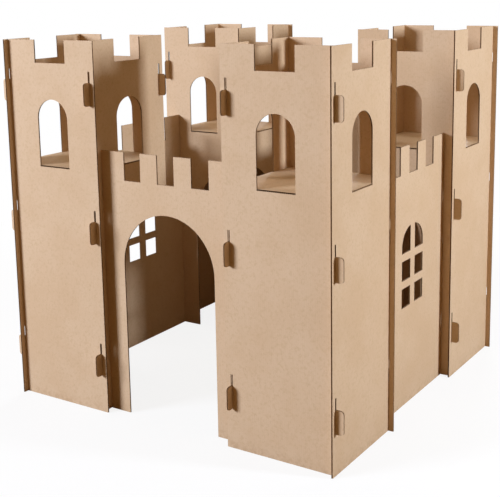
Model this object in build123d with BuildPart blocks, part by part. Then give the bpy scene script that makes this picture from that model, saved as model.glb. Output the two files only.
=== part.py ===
from build123d import *
import os

# Cardboard castle: four square towers of slotted panels, four walls, four tower floors.
# Origin at the middle of the castle on the ground, X along the front, Y to the back, Z up.
# All lengths are in millimetres.

# Board
card = 5.0

# Hook joints
joint_gap = 0.3
slot_play = 1.6
slot_headroom = 2.0
tab_height = 84.0
tab_reach = 30.0
tab_corner = 12.0
hook_drop = 38.0

# Plan
wall_span = 587.0
panel_spacing = 400.0
corner_overhang = 22.0
wall_inset = 45.0

# Tower heights, from the ground up
sill_level = 925.0
tower_window_width = 147.0
tower_window_height = 256.0
window_to_battlement = 134.0
tower_crenel_width = 150.0
tower_crenel_depth = 85.0
corner_tab_lowest = 146.0
corner_tab_below_top = 150.0
corner_tab_count = 3

# Doorways between the towers and the courtyard
doorway_radius = 265.0
doorway_below_floor = 140.0

# Wall heights
wall_above_sill = 75.0
wall_crenel_width = 75.0
wall_crenel_depth = 105.0
wall_crenel_pitch = 150.0
wall_crenel_count = 3
wall_tab_lowest = 140.0
wall_tab_below_floor = 57.0
wall_tab_count = 3

# Front door
door_width = 404.0
door_lintel = 110.0

# Wall windows
wall_window_base = 388.0
pane_width = 75.0
pane_height = 75.0
mullion = 39.0
glazing_bar = 30.0
pane_rows = 2
arch_pane_side = 22.0
arch_rise = 79.0

# Tower floors
floor_play = 1.0

# Sizes that follow from the ones above
tower_offset = wall_span / 2 + (panel_spacing + card) / 2
tower_height = sill_level + tower_window_height + window_to_battlement + tower_crenel_depth
panel_start = -corner_overhang
panel_end = panel_spacing - card / 2 - joint_gap
panel_width = panel_end - panel_start
panel_middle = (panel_start + panel_end) / 2
wall_height = sill_level + wall_above_sill
wall_line = tower_offset + panel_spacing / 2 - wall_inset
wall_width = wall_span - 2 * joint_gap
slot_width = card + 2 * slot_play
slot_length = tab_height + slot_headroom
neck_height = tab_height - hook_drop
neck_length = card + 2 * joint_gap
window_crown = sill_level + tower_window_height
window_shift = panel_middle - panel_spacing / 2
doorway_crown = sill_level - doorway_below_floor
door_crown = wall_height - wall_crenel_depth - door_lintel
wall_window_width = 2 * pane_width + mullion
floor_size = panel_spacing - card - 2 * floor_play
floor_tab_length = (panel_spacing + card) / 2
floor_tab_width = tower_window_width - 2 * floor_play


def spread(lowest, highest, count):
    """Heights evenly spaced from the lowest to the highest."""
    step = (highest - lowest) / (count - 1)
    return [lowest + step * place for place in range(count)]


# Undersides of the hooked heads of the tabs
corner_levels = spread(
    corner_tab_lowest,
    tower_height - corner_tab_below_top - tab_height,
    corner_tab_count,
)
wall_levels = spread(
    wall_tab_lowest,
    sill_level - wall_tab_below_floor - tab_height,
    wall_tab_count,
)


def cut_slots(across, levels):
    """Slots for the hook tabs whose heads hang at these levels."""
    for level in levels:
        bottom = level + hook_drop - joint_gap
        with Locations((across, bottom)):
            Rectangle(
                slot_width,
                slot_length,
                align=(Align.CENTER, Align.MIN),
                mode=Mode.SUBTRACT,
            )


def add_tabs(edge, side, levels):
    """Hook tabs on a panel edge: a neck through the slot and a head that hangs below it."""
    shoulder = edge + side * neck_length
    near = Align.MIN if side > 0 else Align.MAX
    for level in levels:
        with Locations((edge, level + hook_drop)):
            Rectangle(neck_length, neck_height, align=(near, Align.MIN))
        with Locations((shoulder, level)):
            Rectangle(tab_reach, tab_height, align=(near, Align.MIN))


def cut_crenels(across, top, width, depth, pitch=0, count=1):
    """Gaps of a battlement, open at the top edge."""
    with Locations((across, top)):
        with GridLocations(pitch, 0, count, 1):
            Rectangle(
                width,
                depth,
                align=(Align.CENTER, Align.MAX),
                mode=Mode.SUBTRACT,
            )


def cut_arch(across, base, width, crown):
    """Round-headed opening from its base to its crown."""
    springing = crown - width / 2
    with Locations((across, base)):
        Rectangle(
            width,
            springing - base,
            align=(Align.CENTER, Align.MIN),
            mode=Mode.SUBTRACT,
        )
    with Locations((across, springing)):
        Circle(width / 2, mode=Mode.SUBTRACT)


def cut_wall_window():
    """Window of a wall: rows of square panes under a pair with an arched head."""
    pane_pitch = pane_height + glazing_bar
    pane_spacing = pane_width + mullion
    rows_middle = wall_window_base + pane_height / 2 + pane_pitch * (pane_rows - 1) / 2
    with Locations((0, rows_middle)):
        with GridLocations(pane_spacing, pane_pitch, 2, pane_rows):
            Rectangle(pane_width, pane_height, mode=Mode.SUBTRACT)
    head_base = wall_window_base + pane_pitch * pane_rows
    springing = head_base + arch_pane_side
    half = wall_window_width / 2
    for side in (-1, 1):
        with BuildSketch(mode=Mode.PRIVATE) as head:
            with Locations((0, springing)):
                Ellipse(half, arch_rise)
            with Locations((0, head_base)):
                Rectangle(
                    wall_window_width,
                    arch_pane_side,
                    align=(Align.CENTER, Align.MIN),
                )
            with Locations((side * pane_spacing / 2, head_base)):
                Rectangle(
                    pane_width,
                    arch_pane_side + arch_rise,
                    align=(Align.CENTER, Align.MIN),
                    mode=Mode.INTERSECT,
                )
        add(head.sketch, mode=Mode.SUBTRACT)


def tower_panel(label, plane, doorway=None):
    """Panel of a tower, drawn from its slotted edge to its tabbed edge."""
    slots = corner_levels
    tabs = corner_levels
    if doorway == "slotted edge":
        doorway_line = 0
        wall_joint = panel_spacing - wall_inset
        slots = corner_levels[-1:]
    if doorway == "tabbed edge":
        doorway_line = panel_spacing
        wall_joint = wall_inset
        tabs = corner_levels[-1:]
    with BuildPart() as panel:
        with BuildSketch(plane) as outline:
            with Locations((panel_start, 0)):
                Rectangle(panel_width, tower_height, align=Align.MIN)
            cut_crenels(panel_middle, tower_height, tower_crenel_width, tower_crenel_depth)
            cut_arch(panel_middle, sill_level, tower_window_width, window_crown)
            if doorway:
                cut_arch(doorway_line, 0, 2 * doorway_radius, doorway_crown)
                cut_slots(wall_joint, wall_levels)
            cut_slots(0, slots)
            add_tabs(panel_end, 1, tabs)
            fillet(outline.vertices().group_by(Axis.X)[-1], tab_corner)
        extrude(amount=card / 2, both=True)
    panel.part.label = label
    export_step(panel.part, f"parts/{label}.step")


def castle_wall(label, plane, door=False):
    """Wall between two towers, with hook tabs at both ends."""
    with BuildPart() as wall:
        with BuildSketch(plane) as outline:
            Rectangle(wall_width, wall_height, align=(Align.CENTER, Align.MIN))
            cut_crenels(
                0,
                wall_height,
                wall_crenel_width,
                wall_crenel_depth,
                wall_crenel_pitch,
                wall_crenel_count,
            )
            if door:
                cut_arch(0, 0, door_width, door_crown)
            else:
                cut_wall_window()
            for side in (-1, 1):
                add_tabs(side * wall_width / 2, side, wall_levels)
            fillet(outline.vertices().group_by(Axis.X)[-1], tab_corner)
            fillet(outline.vertices().group_by(Axis.X)[0], tab_corner)
        extrude(amount=card / 2, both=True)
    wall.part.label = label
    export_step(wall.part, f"parts/{label}.step")


def tower_floor(label, plane, hand):
    """Floor of a tower, resting with a tab on each window sill."""
    with BuildPart() as floor:
        with BuildSketch(plane):
            Rectangle(floor_size, floor_size)
            with PolarLocations(0, 4):
                with Locations((0, window_shift * hand)):
                    Rectangle(
                        floor_tab_length,
                        floor_tab_width,
                        align=(Align.MIN, Align.CENTER),
                    )
        extrude(amount=card)
    floor.part.label = label
    export_step(floor.part, f"parts/{label}.step")


# Outward directions of the four sides, of the castle and of each tower
sides = {
    "front": Vector(0, -1, 0),
    "right": Vector(1, 0, 0),
    "back": Vector(0, 1, 0),
    "left": Vector(-1, 0, 0),
}
up = Vector(0, 0, 1)

# Corner of each tower, and the hand of its joints, where one tower is mirrored
towers = {
    "front_left": (-1, -1, -1),
    "front_right": (1, -1, 1),
    "back_right": (1, 1, 1),
    "back_left": (-1, 1, 1),
}

os.makedirs("parts", exist_ok=True)

for tower, (corner_x, corner_y, hand) in towers.items():
    centre = Vector(corner_x, corner_y, 0) * tower_offset
    for side, outward in sides.items():
        along = up.cross(outward) * hand
        slotted_corner = centre + (outward - along) * (panel_spacing / 2)
        plane = Plane(slotted_corner, x_dir=along, z_dir=along.cross(up))
        label = f"{tower}_tower_{side}_panel"
        if outward.dot(centre) > 0:
            tower_panel(label, plane)
        elif along.dot(centre) > 0:
            tower_panel(label, plane, doorway="slotted edge")
        else:
            tower_panel(label, plane, doorway="tabbed edge")
    floor_plane = Plane(centre + up * (sill_level + joint_gap))
    tower_floor(f"{tower}_tower_floor", floor_plane, hand)

for side, outward in sides.items():
    plane = Plane(outward * wall_line, x_dir=up.cross(outward), z_dir=outward)
    castle_wall(f"{side}_wall", plane, door=side == "front")
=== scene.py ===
"""Cardboard castle dressed as fluted kraft board, with its studio and its camera."""

import logging
import math
from dataclasses import dataclass, field
from enum import Enum

import bmesh
import bpy
from mathutils import Matrix, Vector


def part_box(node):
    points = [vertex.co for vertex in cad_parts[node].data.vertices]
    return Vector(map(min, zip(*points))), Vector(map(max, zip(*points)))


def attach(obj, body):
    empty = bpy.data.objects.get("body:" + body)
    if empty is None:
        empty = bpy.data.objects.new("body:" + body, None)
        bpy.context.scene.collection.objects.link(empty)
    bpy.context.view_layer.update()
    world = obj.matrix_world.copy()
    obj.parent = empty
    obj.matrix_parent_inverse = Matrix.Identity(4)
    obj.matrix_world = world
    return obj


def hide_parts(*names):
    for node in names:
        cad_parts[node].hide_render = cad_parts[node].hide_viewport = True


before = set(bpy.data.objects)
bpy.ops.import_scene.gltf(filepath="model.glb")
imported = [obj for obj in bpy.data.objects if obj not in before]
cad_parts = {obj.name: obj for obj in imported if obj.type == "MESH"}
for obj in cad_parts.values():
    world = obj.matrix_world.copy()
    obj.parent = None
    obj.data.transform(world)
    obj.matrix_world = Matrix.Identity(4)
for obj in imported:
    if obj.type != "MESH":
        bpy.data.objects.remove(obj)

log = logging.getLogger("castle")

Colour = tuple[float, float, float, float]
Triple = tuple[float, float, float]
Node = bpy.types.Node
Socket = bpy.types.NodeSocket

# The Mix node's colour sockets by place, because its other sockets have the same names.
MIX_FIRST = 6
MIX_SECOND = 7
MIX_RESULT = 2

# Place of the raw paper among the materials of a piece; its dark colour is partly the medium's own
# paper and partly painted shade of the flute hollows.
RAW_PAPER_AND_SHADE = 1

TOWERS = ("front_left", "front_right", "back_right", "back_left")


class SheetLie(Enum):
    """How a sheet of board lies: its thickness axis and the axis across its flutes."""

    FACING_FRONT = (1, 0)
    FACING_SIDE = (0, 1)
    LEVEL = (2, 0)

    @property
    def thickness_axis(self) -> int:
        """Axis that runs through the sheet."""
        return self.value[0]

    @property
    def across_flutes(self) -> int:
        """Axis in the sheet that crosses its flutes."""
        return self.value[1]


SIDES = {
    "front": SheetLie.FACING_FRONT,
    "right": SheetLie.FACING_SIDE,
    "back": SheetLie.FACING_FRONT,
    "left": SheetLie.FACING_SIDE,
}


class Value:
    """A shader value that adds Math nodes when it stands in an expression."""

    def __init__(self, graph: "Graph", output: Socket) -> None:
        """Wraps an output.

        Args:
            graph: The graph that the output belongs to.
            output: The socket that gives the value.
        """
        self.graph = graph
        self.output = output

    def _maths(self, operation: str, *terms: object) -> "Value":
        """Adds a Math node.

        Args:
            operation: The node's operation.
            terms: Its values, in order.

        Returns:
            The node's result.
        """
        node = self.graph.node("ShaderNodeMath", {"operation": operation}, dict(enumerate(terms)))
        return Value(self.graph, node.outputs[0])

    def __add__(self, other: object) -> "Value":
        """Sum."""
        return self._maths("ADD", self, other)

    def __radd__(self, other: object) -> "Value":
        """Sum with a number on the left."""
        return self._maths("ADD", other, self)

    def __sub__(self, other: object) -> "Value":
        """Difference."""
        return self._maths("SUBTRACT", self, other)

    def __rsub__(self, other: object) -> "Value":
        """Difference with a number on the left."""
        return self._maths("SUBTRACT", other, self)

    def __mul__(self, other: object) -> "Value":
        """Product."""
        return self._maths("MULTIPLY", self, other)

    def __rmul__(self, other: object) -> "Value":
        """Product with a number on the left."""
        return self._maths("MULTIPLY", other, self)

    def sine(self) -> "Value":
        """Sine of an angle in radians."""
        return self._maths("SINE", self)


class Graph:
    """The node tree of a material or a world."""

    def __init__(self, owner: bpy.types.Material | bpy.types.World) -> None:
        """Empties the owner's node tree.

        Args:
            owner: The material or world.
        """
        self.owner = owner
        owner.use_nodes = True
        self.tree = owner.node_tree
        self.tree.nodes.clear()

    def node(
        self,
        kind: str,
        settings: dict[str, object] | None = None,
        sockets: dict[str | int, object] | None = None,
    ) -> Node:
        """Adds a node.

        Args:
            kind: The node's type.
            settings: Its properties.
            sockets: Values or links of its inputs, by name or place.

        Returns:
            The new node.
        """
        node = self.tree.nodes.new(kind)
        for key, setting in (settings or {}).items():
            setattr(node, key, setting)
        for key, given in (sockets or {}).items():
            if isinstance(given, Value):
                given = given.output
            if isinstance(given, Socket):
                self.tree.links.new(given, node.inputs[key])
            else:
                node.inputs[key].default_value = given
        return node

    def coordinates(self) -> Socket:
        """Place of a surface point in the object's own frame, in metres."""
        return self.node("ShaderNodeTexCoord").outputs["Object"]

    def axis(self, vector: Socket, index: int) -> Value:
        """One component of a vector.

        Args:
            vector: The vector.
            index: 0, 1 or 2.

        Returns:
            The component.
        """
        return Value(self, self.node("ShaderNodeSeparateXYZ", None, {0: vector}).outputs[index])

    def stretched(self, vector: Socket, scale: Triple) -> Socket:
        """Coordinates stretched by a Mapping node.

        Args:
            vector: The coordinates.
            scale: Factor of each axis.

        Returns:
            The stretched coordinates.
        """
        sockets = {"Vector": vector, "Scale": scale}
        return self.node("ShaderNodeMapping", None, sockets).outputs["Vector"]

    def between(self, share: Value, low: float, high: float) -> Value:
        """Smooth step of a value from 0 at one limit to 1 at the other.

        Args:
            share: The value.
            low: Where the step starts.
            high: Where it ends.

        Returns:
            The step.
        """
        node = self.node(
            "ShaderNodeMapRange",
            {"interpolation_type": "SMOOTHSTEP"},
            {"Value": share, "From Min": low, "From Max": high},
        )
        return Value(self, node.outputs["Result"])

    def mixed(self, share: Value, first: object, second: object) -> Socket:
        """Mix of two colours.

        Args:
            share: Share of the second.
            first: First colour.
            second: Second colour.

        Returns:
            The mixed colour.
        """
        sockets = {0: share, MIX_FIRST: first, MIX_SECOND: second}
        return self.node("ShaderNodeMix", {"data_type": "RGBA"}, sockets).outputs[MIX_RESULT]

    def bumped(self, height: Value, relief: float, normal: Socket | None = None) -> Socket:
        """Normal of a surface raised by a height.

        Args:
            height: The height, in parts of the relief.
            relief: Metres at height 1.
            normal: A normal that it adds to.

        Returns:
            The bumped normal.
        """
        sockets = {"Strength": 1.0, "Distance": relief, "Height": height}
        if normal is not None:
            sockets["Normal"] = normal
        return self.node("ShaderNodeBump", None, sockets).outputs["Normal"]

    def ray(self, kind: str) -> Value:
        """1 for rays of one kind, such as those from the camera."""
        return Value(self, self.node("ShaderNodeLightPath").outputs[kind])

    def seen(self) -> Value:
        """1 for rays that put a thing in the picture: straight, in gloss or through glass."""
        straight, gloss = self.ray("Is Camera Ray"), self.ray("Is Glossy Ray")
        return straight + gloss + self.ray("Is Transmission Ray")

    def between_shaders(self, share: Value, first: Node, second: Node) -> Node:
        """Mix of two shaders.

        Args:
            share: Share of the second.
            first: First shader.
            second: Second shader.

        Returns:
            The Mix Shader node.
        """
        sockets = {0: share, 1: first.outputs[0], 2: second.outputs[0]}
        return self.node("ShaderNodeMixShader", None, sockets)

    def close(self, shader: Node) -> bpy.types.Material:
        """Joins a shader to the material's output.

        Args:
            shader: The shader.

        Returns:
            The material.
        """
        self.node("ShaderNodeOutputMaterial", None, {"Surface": shader.outputs[0]})
        return self.owner

    def finish(self, sockets: dict[str | int, object]) -> bpy.types.Material:
        """Closes the graph with a Principled shader.

        Args:
            sockets: Values or links of the shader.

        Returns:
            The material.
        """
        return self.close(self.node("ShaderNodeBsdfPrincipled", None, sockets))


@dataclass(frozen=True)
class Speckle:
    """Cloudy noise of one size, with the step that turns it into spots.

    The scale is in features per metre and the detail in octaves, and rough is the share of the
    finer octaves. Spots start where the noise passes low and are full at high. Share is how
    much of the colour under them they cover.
    """

    scale: float
    detail: float
    rough: float
    low: float = 0.0
    high: float = 1.0
    share: float = 1.0

    def noise(self, graph: Graph, place: Socket) -> Value:
        """Noise around 0.5.

        Args:
            graph: The graph that it belongs to.
            place: Where it is read.

        Returns:
            The noise value.
        """
        node = graph.node(
            "ShaderNodeTexNoise",
            None,
            {"Vector": place, "Scale": self.scale, "Detail": self.detail, "Roughness": self.rough},
        )
        return Value(graph, node.outputs["Fac"])

    def spots(self, graph: Graph, place: Socket) -> Value:
        """Mask of the spots.

        Args:
            graph: The graph that it belongs to.
            place: Where it is read.

        Returns:
            The mask, from 0 to the share.
        """
        return graph.between(self.noise(graph, place), self.low, self.high) * self.share


@dataclass(frozen=True)
class KraftLiner:
    """Outer paper of the board: speckled kraft over a faint washboard of flutes."""

    sheet: Colour = (0.650, 0.458, 0.280, 1.0)
    cloud: Colour = (0.615, 0.420, 0.246, 1.0)
    mottle: Colour = (0.560, 0.375, 0.208, 1.0)
    fibre_dark: Colour = (0.430, 0.270, 0.135, 1.0)
    fibre_pale: Colour = (0.745, 0.550, 0.370, 1.0)
    low_spot: Colour = (0.480, 0.305, 0.165, 1.0)

    clouds: Speckle = Speckle(5.0, 4.0, 0.55, 0.35, 0.70)
    mottles: Speckle = Speckle(95.0, 3.0, 0.65, 0.46, 0.72, 0.60)
    dark_fibres: Speckle = Speckle(420.0, 2.0, 0.60, 0.60, 0.80, 0.55)
    pale_fibres: Speckle = Speckle(260.0, 3.0, 0.70, 0.58, 0.78, 0.50)
    low_spots: Speckle = Speckle(55.0, 4.0, 0.60, 0.42, 0.66, 0.55)
    warp: Speckle = Speckle(3.2, 1.0, 0.40)
    grain: Speckle = Speckle(650.0, 3.0, 0.60)

    flute_pitch: float = 0.008
    glue_line: tuple[float, float] = (0.4, 1.0)
    glue_share: float = 0.06
    fibre_stretch: float = 0.25
    warp_stretch: Triple = (1.0, 1.0, 0.6)
    low_spot_height: float = 0.045

    roughness: float = 0.60
    roughness_swing: float = 0.12
    gloss: float = 0.12
    warp_relief: float = 0.0016
    flute_relief: float = 0.00006
    grain_relief: float = 0.00008

    def material(self, lie: SheetLie) -> bpy.types.Material:
        """Builds the paper for one lie of the sheet.

        Args:
            lie: How the sheet lies.

        Returns:
            The material.
        """
        graph = Graph(bpy.data.materials.new(f"kraft_liner_{lie.name.lower()}"))
        place = graph.coordinates()
        wave = (graph.axis(place, lie.across_flutes) * (math.tau / self.flute_pitch)).sine()
        swing = (self.clouds.noise(graph, place) - 0.5) * self.roughness_swing
        return graph.finish({
            "Base Color": self.colour(graph, place, lie, wave),
            "Roughness": self.roughness + swing,
            "Normal": self.normal(graph, place, wave),
            "Specular IOR Level": self.gloss,
        })

    def colour(self, graph: Graph, place: Socket, lie: SheetLie, wave: Value) -> Socket:
        """Colour of the paper: clouds, mottles, fibres, glue lines and darker spots near the floor.

        Args:
            graph: The material's graph.
            place: The surface point.
            lie: How the sheet lies.
            wave: The flutes under the paper, from -1 to 1.

        Returns:
            The colour.
        """
        stretch = [self.fibre_stretch] * 3
        stretch[lie.across_flutes] = 1.0
        along = graph.stretched(place, tuple(stretch))
        glue = graph.between(wave, *self.glue_line) * self.glue_share
        low = 1.0 - graph.between(graph.axis(place, 2), 0.0, self.low_spot_height)
        colour = graph.mixed(self.clouds.spots(graph, place), self.sheet, self.cloud)
        colour = graph.mixed(self.mottles.spots(graph, place), colour, self.mottle)
        colour = graph.mixed(self.dark_fibres.spots(graph, along), colour, self.fibre_dark)
        colour = graph.mixed(self.pale_fibres.spots(graph, place), colour, self.fibre_pale)
        colour = graph.mixed(glue, colour, self.fibre_dark)
        # Darker spots over the lowest few centimetres of each sheet.
        return graph.mixed(low * self.low_spots.spots(graph, place), colour, self.low_spot)

    def normal(self, graph: Graph, place: Socket, wave: Value) -> Socket:
        """Relief of the paper: the sheet's warp, the flutes under it and its grain.

        Args:
            graph: The material's graph.
            place: The surface point.
            wave: The flutes under the paper, from -1 to 1.

        Returns:
            The normal.
        """
        warp = self.warp.noise(graph, graph.stretched(place, self.warp_stretch))
        normal = graph.bumped(warp, self.warp_relief)
        normal = graph.bumped(wave, self.flute_relief, normal)
        return graph.bumped(self.grain.noise(graph, place), self.grain_relief, normal)


@dataclass(frozen=True)
class FlutedMediumPaintedShade:
    """Raw paper of the flutes and the cut edges, rougher than the liners; its colours are partly
    the medium's own darker paper and partly painted shade of the hollows between the flutes.
    """

    # Both colours sit far below the liner's: partly the medium's own darker paper, partly painted
    # shade of the hollows at the cut edges.
    paper: Colour = (0.220, 0.125, 0.060, 1.0)
    dark_paper_and_shade: Colour = (0.140, 0.075, 0.034, 1.0)
    clouds: Speckle = Speckle(120.0, 3.0, 0.60, 0.35, 0.70)
    grain: Speckle = Speckle(900.0, 2.0, 0.60)
    roughness: float = 0.90
    gloss: float = 0.10
    grain_relief: float = 0.0001

    def material(self) -> bpy.types.Material:
        """Builds the raw paper, darkened with painted shade."""
        graph = Graph(bpy.data.materials.new("fluted_medium_painted_shade"))
        place = graph.coordinates()
        return graph.finish({
            "Base Color": graph.mixed(self.clouds.spots(graph, place), self.paper, self.dark_paper_and_shade),
            "Roughness": self.roughness,
            "Normal": graph.bumped(self.grain.noise(graph, place), self.grain_relief),
            "Specular IOR Level": self.gloss,
        })


@dataclass
class Board:
    """Corrugated board: two liners glued to a fluted medium."""

    liner: float = 0.0005
    medium: float = 0.0003
    flute_pitch: float = 0.008
    knots_per_flute: int = 4
    glue_gap: float = 0.00002
    weld: float = 0.00001
    snap: float = 1e-7
    level_face: float = 0.9
    level_turn: float = math.radians(1.0)
    liners: dict[SheetLie, bpy.types.Material] = field(default_factory=dict)
    raw_paper_and_shade: bpy.types.Material | None = None

    def mix_papers(self) -> None:
        """Makes the paper materials once for all the sheets."""
        for lie in SheetLie:
            self.liners[lie] = KraftLiner(flute_pitch=self.flute_pitch).material(lie)
        self.raw_paper_and_shade = FlutedMediumPaintedShade().material()

    def rims(self, sheet: bmesh.types.BMesh, lie: SheetLie) -> list[bmesh.types.BMFace]:
        """Faces of a sheet's cut edges.

        Args:
            sheet: The sheet.
            lie: How the sheet lies.

        Returns:
            The faces that don't lie in the sheet's plane.
        """
        axis = lie.thickness_axis
        return [face for face in sheet.faces if abs(face.normal[axis]) < self.level_face]

    def flat_faces(self, node: bpy.types.Object, lie: SheetLie) -> bmesh.types.BMesh:
        """Copies the two flat faces of a sheet, without its cut edges.

        Args:
            node: The solid sheet.
            lie: How the sheet lies.

        Returns:
            A mesh of the two faces.
        """
        sheet = bmesh.new()
        sheet.from_mesh(node.data)
        for face in sheet.faces:
            face.smooth = False
        bmesh.ops.remove_doubles(sheet, verts=sheet.verts, dist=self.weld)
        sheet.normal_update()
        bmesh.ops.delete(sheet, geom=self.rims(sheet, lie), context="FACES")
        bmesh.ops.dissolve_limit(
            sheet,
            angle_limit=self.level_turn,
            verts=sheet.verts,
            edges=sheet.edges,
        )
        return sheet

    def thicken_liners(self, sheet: bmesh.types.BMesh, lie: SheetLie) -> None:
        """Gives both faces the thickness of their paper, inwards, with raw cut edges.

        Args:
            sheet: The two flat faces.
            lie: How the sheet lies.
        """
        bmesh.ops.solidify(sheet, geom=sheet.faces[:], thickness=self.liner)
        bmesh.ops.recalc_face_normals(sheet, faces=sheet.faces)
        for face in self.rims(sheet, lie):
            # The cut edges take the raw paper, whose dark colour is partly painted shade of the
            # flute hollows.
            face.material_index = RAW_PAPER_AND_SHADE

    def crest(self, across: float, reach: float) -> float:
        """Height of the flutes at a place, rising and falling in straight flanks.

        Args:
            across: Place across the flutes.
            reach: Height of a crest.

        Returns:
            The height.
        """
        turn = (across / self.flute_pitch) % 1.0
        knot = 1.0 / self.knots_per_flute
        steps = abs(((turn + knot / 2 + 0.5) % 1.0) - 0.5) / knot
        return reach * max(-1.0, min(1.0, 2.0 * (1.0 - steps)))

    def fold_flutes(
        self,
        sheet: bmesh.types.BMesh,
        lie: SheetLie,
        middle: float,
        reach: float,
    ) -> None:
        """Folds one flat face into flutes half way through the sheet.

        Args:
            sheet: One flat face of the sheet.
            lie: How the sheet lies.
            middle: Place of the sheet's middle along its thickness.
            reach: Height of a crest from the middle.
        """
        axis, across = lie.thickness_axis, lie.across_flutes
        normal = Vector((0.0, 0.0, 0.0))
        normal[across] = 1.0
        knot = self.flute_pitch / self.knots_per_flute
        places = [vertex.co[across] for vertex in sheet.verts]
        first = math.ceil(min(places) / knot - 0.5)
        last = math.floor(max(places) / knot - 0.5)
        for count in range(first, last + 1):
            bmesh.ops.bisect_plane(
                sheet,
                geom=sheet.verts[:] + sheet.edges[:] + sheet.faces[:],
                dist=self.snap,
                plane_co=normal * ((count + 0.5) * knot),
                plane_no=normal,
            )
        for vertex in sheet.verts:
            vertex.co[axis] = middle + self.crest(vertex.co[across], reach)
        bmesh.ops.solidify(sheet, geom=sheet.faces[:], thickness=self.medium)
        bmesh.ops.recalc_face_normals(sheet, faces=sheet.faces)
        for face in sheet.faces:
            face.material_index = RAW_PAPER_AND_SHADE

    def sheet(self, name: str, lie: SheetLie) -> bpy.types.Object:
        """Builds one sheet of board in place of its solid.

        Args:
            name: The solid's name.
            lie: How the sheet lies.

        Returns:
            The piece.
        """
        axis = lie.thickness_axis
        low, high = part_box(name)
        middle = (low[axis] + high[axis]) / 2
        reach = (high[axis] - low[axis]) / 2 - self.liner - self.medium / 2 - self.glue_gap

        papers = self.flat_faces(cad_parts[name], lie)
        flutes = papers.copy()
        far = [face for face in flutes.faces if face.normal[axis] < 0.0]
        bmesh.ops.delete(flutes, geom=far, context="FACES")
        self.thicken_liners(papers, lie)
        self.fold_flutes(flutes, lie, middle, reach)

        mesh = bpy.data.meshes.new(f"{name}_board")
        flutes.to_mesh(mesh)
        papers.from_mesh(mesh)
        papers.to_mesh(mesh)
        flutes.free()
        papers.free()
        if "custom_normal" in mesh.attributes:
            mesh.attributes.remove(mesh.attributes["custom_normal"])
        mesh.materials.append(self.liners[lie])
        mesh.materials.append(self.raw_paper_and_shade)

        piece = bpy.data.objects.new(f"{name}_board", mesh)
        bpy.context.scene.collection.objects.link(piece)
        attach(piece, "root")
        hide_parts(name)
        return piece


@dataclass
class Tower:
    """Square tower of four hooked panels round a floor."""

    name: str
    board: Board
    pieces: list[bpy.types.Object] = field(default_factory=list)

    def build(self) -> None:
        """Builds the four panels and the floor."""
        for side, lie in SIDES.items():
            self.pieces.append(self.board.sheet(f"{self.name}_tower_{side}_panel", lie))
        self.pieces.append(self.board.sheet(f"{self.name}_tower_floor", SheetLie.LEVEL))


@dataclass
class CurtainWalls:
    """The four walls between the towers."""

    board: Board
    pieces: list[bpy.types.Object] = field(default_factory=list)

    def build(self) -> None:
        """Builds the walls."""
        for side, lie in SIDES.items():
            self.pieces.append(self.board.sheet(f"{side}_wall", lie))


@dataclass(frozen=True)
class Lamp:
    """Soft box: a rectangular lamp aimed at a point, sized in metres, its power in watts."""

    name: str
    place: Triple
    target: Triple
    width: float
    height: float
    power: float
    colour: Triple

    def build(self) -> bpy.types.Object:
        """Hangs the lamp."""
        lamp = bpy.data.lights.new(self.name, "AREA")
        lamp.shape = "RECTANGLE"
        lamp.size = self.width
        lamp.size_y = self.height
        lamp.energy = self.power
        lamp.color = self.colour
        holder = bpy.data.objects.new(self.name, lamp)
        holder.location = self.place
        aim = Vector(self.target) - Vector(self.place)
        holder.rotation_euler = aim.to_track_quat("-Z", "Y").to_euler()
        bpy.context.scene.collection.objects.link(holder)
        return holder


@dataclass(frozen=True)
class Camera:
    """Camera at the photograph's place, with its picture centre moved up.

    The angles are in degrees. The focal length, the picture centre and the picture's width
    and height are in the picture's pixels.
    """

    place: Triple = (2.14050, -3.38662, 1.58324)
    azimuth: float = 33.128
    elevation: float = -10.245
    roll: float = -1.011
    focal: float = 1001.93
    centre: tuple[float, float] = (250.0, 166.5)
    picture: tuple[float, float] = (500.0, 497.0)
    sensor: float = 36.0
    nearest: float = 0.1
    farthest: float = 60.0

    def build(self) -> bpy.types.Object:
        """Sets up the scene's camera."""
        turn, rise, roll = map(math.radians, (self.azimuth, self.elevation, self.roll))
        level = Vector((math.cos(turn), math.sin(turn), 0.0))
        ahead = Vector((
            -math.sin(turn) * math.cos(rise),
            math.cos(turn) * math.cos(rise),
            math.sin(rise),
        ))
        upright = level.cross(ahead)
        right = level * math.cos(roll) + upright * math.sin(roll)
        top = upright * math.cos(roll) - level * math.sin(roll)

        width, height = self.picture
        data = bpy.data.cameras.new("camera")
        data.sensor_width = self.sensor
        data.lens = self.focal * self.sensor / width
        data.shift_x = (width / 2 - self.centre[0]) / width
        data.shift_y = (self.centre[1] - height / 2) / width
        data.clip_start = self.nearest
        data.clip_end = self.farthest

        holder = bpy.data.objects.new("camera", data)
        columns = Matrix((right, top, -ahead)).transposed().to_4x4()
        holder.matrix_world = Matrix.Translation(self.place) @ columns
        bpy.context.scene.collection.objects.link(holder)
        bpy.context.scene.camera = holder
        return holder


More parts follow.
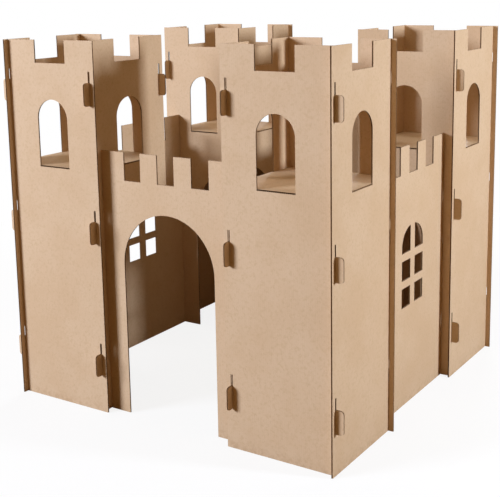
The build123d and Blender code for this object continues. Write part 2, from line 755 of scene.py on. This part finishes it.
@dataclass
class Studio:
    """White floor and background, with soft boxes before, beside, behind and above the castle."""

    floor_size: float = 24.0
    floor_cells: int = 8
    floor_drop: float = 0.0005
    floor_colour: Colour = (0.20, 0.13, 0.06, 1.0)
    white: Colour = (1.0, 1.0, 1.0, 1.0)
    white_strength: float = 1.0
    shadow_share: float = 0.14
    shadow_reach: float = 1.3
    shadow_end: float = 3.2
    ambient: float = 0.18
    ambient_colour: Colour = (1.0, 0.54, 0.13, 1.0)
    lamps: tuple[Lamp, ...] = (
        Lamp("key_box", (-5.8, -8.3, 3.6), (0.0, -0.4, 0.9), 3.8, 2.4, 1220.0, (0.89, 1.0, 1.24)),
        Lamp("side_box", (4.6, 0.6, 1.7), (0.7, 0.0, 0.9), 0.5, 0.5, 176.0, (0.89, 1.0, 1.20)),
        Lamp("back_box", (-2.5, 8.5, 2.4), (0.0, 0.4, 0.8), 2.6, 1.4, 500.0, (0.95, 1.0, 1.08)),
        Lamp("top_box", (0.0, 0.2, 4.6), (0.0, 0.2, 0.0), 2.4, 2.4, 36.0, (1.0, 1.0, 0.9)),
    )

    def floor_material(self) -> bpy.types.Material:
        """White in the picture with a light share of the real shadow, plain brown for the lamps."""
        graph = Graph(bpy.data.materials.new("studio_floor"))
        away = graph.node("ShaderNodeVectorMath", {"operation": "LENGTH"}, {0: graph.coordinates()})
        far = graph.between(Value(graph, away.outputs["Value"]), self.shadow_reach, self.shadow_end)
        shaded = (1.0 - far) * self.shadow_share + graph.ray("Is Glossy Ray")
        plain = graph.node("ShaderNodeBsdfDiffuse", None, {"Color": self.floor_colour})
        paper = graph.node("ShaderNodeBsdfDiffuse", None, {"Color": self.white})
        glow = graph.node(
            "ShaderNodeEmission", None, {"Color": self.white, "Strength": self.white_strength}
        )
        pale = graph.between_shaders(shaded, glow, paper)
        return graph.close(graph.between_shaders(graph.seen(), plain, pale))

    def build_floor(self) -> bpy.types.Object:
        """Lays the floor just under the castle."""
        plate = bmesh.new()
        bmesh.ops.create_grid(
            plate,
            x_segments=self.floor_cells,
            y_segments=self.floor_cells,
            size=self.floor_size / 2,
        )
        bmesh.ops.translate(plate, verts=plate.verts, vec=(0.0, 0.0, -self.floor_drop))
        mesh = bpy.data.meshes.new("studio_floor")
        plate.to_mesh(mesh)
        plate.free()
        mesh.materials.append(self.floor_material())
        floor = bpy.data.objects.new("studio_floor", mesh)
        bpy.context.scene.collection.objects.link(floor)
        return floor

    def build_world(self) -> bpy.types.World:
        """Even warm light all round, seen as plain white in the picture."""
        world = bpy.data.worlds.new("studio_world")
        graph = Graph(world)
        soft = graph.node(
            "ShaderNodeBackground", None, {"Color": self.ambient_colour, "Strength": self.ambient}
        )
        plain = graph.node(
            "ShaderNodeBackground", None, {"Color": self.white, "Strength": self.white_strength}
        )
        both = graph.between_shaders(graph.seen(), soft, plain)
        graph.node("ShaderNodeOutputWorld", None, {"Surface": both.outputs[0]})
        bpy.context.scene.world = world
        return world

    def build(self) -> None:
        """Builds the studio and sets the plain view."""
        self.build_floor()
        self.build_world()
        for lamp in self.lamps:
            lamp.build()
        Camera().build()
        bpy.context.scene.view_settings.view_transform = "Standard"


def main() -> None:
    """Builds the castle and its studio."""
    logging.basicConfig(level=logging.INFO, format="%(message)s")
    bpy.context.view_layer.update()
    board = Board()
    board.mix_papers()
    walls = CurtainWalls(board)
    walls.build()
    towers = [Tower(name, board) for name in TOWERS]
    for tower in towers:
        tower.build()
    for piece in walls.pieces + [piece for tower in towers for piece in tower.pieces]:
        log.info("%s: %d faces", piece.name, len(piece.data.polygons))
    Studio().build()


if __name__ == "__main__":
    main()
